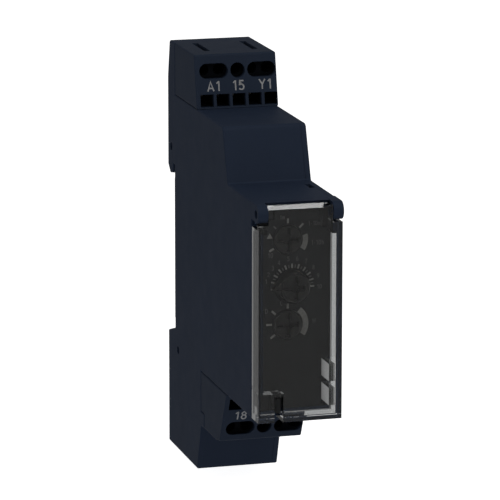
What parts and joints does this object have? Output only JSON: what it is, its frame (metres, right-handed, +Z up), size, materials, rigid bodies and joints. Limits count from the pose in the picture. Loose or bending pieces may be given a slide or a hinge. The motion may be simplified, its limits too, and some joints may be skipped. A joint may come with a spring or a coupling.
{
  "type": "din rail timer",
  "caption": "Slim rail-mounted time relay with stepped housing, push-in terminals above and below, and three slotted dials behind a hinged clear cover.",
  "frame": {"origin": "centre of the rail seat: half way across the width, at the middle height of the 35 mm rail, on the plane its flanges rest against", "axes": "+Z up along the height, +X across the width to the right seen from the front, -Y forward out of the dials; +Y points into the rail"},
  "size_m": [0.0178, 0.0724, 0.09],
  "materials": {
    "housing": "fine-textured dark moulding",
    "terminal_block": "fine-textured dark moulding",
    "faceplate": "dark panel with pale printing",
    "clear_cover": "clear polycarbonate",
    "knob": "dark nylon",
    "light_guide": "clear acrylic",
    "led": "diffused lamp body",
    "latch": "dark nylon",
    "spring_steel": "spring steel",
    "tinned_copper": "tinned copper",
    "circuit_board": "green solder mask",
    "relay_iron": "plated soft iron",
    "contact_brass": "brass",
    "coil_copper": "enamelled winding on a bobbin",
    "component_plastic": "moulded component body",
    "capacitor_can": "sleeved aluminium can",
    "film_capacitor": "potted box",
    "chip_resin": "moulding resin",
    "component_body": "dipped component"
  },
  "bodies": {
    "base": {"board_connector": "contact_brass", "clamp_15": "spring_steel", "clamp_16": "spring_steel", "clamp_18_left": "spring_steel", "clamp_18_right": "spring_steel", "clamp_a1_left": "spring_steel", "clamp_a1_right": "spring_steel", "clamp_a2_left": "spring_steel", "clamp_a2_right": "spring_steel", "clamp_y1_left": "spring_steel", "clamp_y1_right": "spring_steel", "contact_bar_15": "tinned_copper", "contact_bar_16": "tinned_copper", "contact_bar_18": "tinned_copper", "contact_bar_a1": "tinned_copper", "contact_bar_a2": "tinned_copper", "contact_bar_y1": "tinned_copper", "dropper_capacitor": "film_capacitor", "faceplate": "faceplate", "front_board": "circuit_board", "function_switch": "component_plastic", "fuse_resistor": "component_body", "latch_spring": "spring_steel", "lower_terminal_block": "terminal_block", "main_board": "circuit_board", "main_housing": "housing", "microcontroller": "chip_resin", "output_led": "led", "output_light_guide": "light_guide", "range_switch": "component_plastic", "rectifier": "chip_resin", "relay_base": "component_plastic", "relay_case": "component_plastic", "relay_coil": "coil_copper", "relay_core": "relay_iron", "relay_fixed_contacts": "contact_brass", "side_cover": "housing", "storage_capacitor": "capacitor_can", "supply_led": "led", "supply_light_guide": "light_guide", "time_potentiometer": "component_plastic", "upper_terminal_block": "terminal_block", "varistor": "component_body"},
    "cover": {"clear_cover": "clear_cover"},
    "range_knob": {"range_selector": "knob"},
    "time_knob": {"time_dial": "knob"},
    "function_knob": {"function_selector": "knob"},
    "rail_foot": {"rail_latch": "latch"},
    "armature": {"relay_armature": "relay_iron", "relay_moving_contact": "contact_brass"}
  },
  "joints": [
    {"name": "cover_hinge", "type": "hinge", "parent": "base", "child": "cover", "pos_m": [0, -0.065, 0.0206], "axis": [-1, 0, 0], "range_deg": [0, 120]},
    {"name": "range_turn", "type": "hinge", "parent": "base", "child": "range_knob", "pos_m": [-0.00135, -0.0615, 0.0143], "axis": [0, -1, 0], "range_deg": [-125, 122]},
    {"name": "time_turn", "type": "hinge", "parent": "base", "child": "time_knob", "pos_m": [-0.00035, -0.0615, 0.0047], "axis": [0, -1, 0], "range_deg": [-187, 6]},
    {"name": "function_turn", "type": "hinge", "parent": "base", "child": "function_knob", "pos_m": [-0.00135, -0.0615, -0.0033], "axis": [0, -1, 0], "range_deg": [-129, 127]},
    {"name": "rail_foot_slide", "type": "slide", "parent": "base", "child": "rail_foot", "axis": [0, 0, -1], "range_m": [0, 0.0032], "stiffness_N_per_m": 900, "springref_m": -0.003, "deforming": ["latch_spring"]},
    {"name": "armature_rock", "type": "hinge", "parent": "base", "child": "armature", "pos_m": [0, -0.0199, 0.014], "axis": [-1, 0, 0], "range_deg": [0, 4], "stiffness_Nm_per_rad": 0.02, "springref_deg": -2.86}
  ]
}
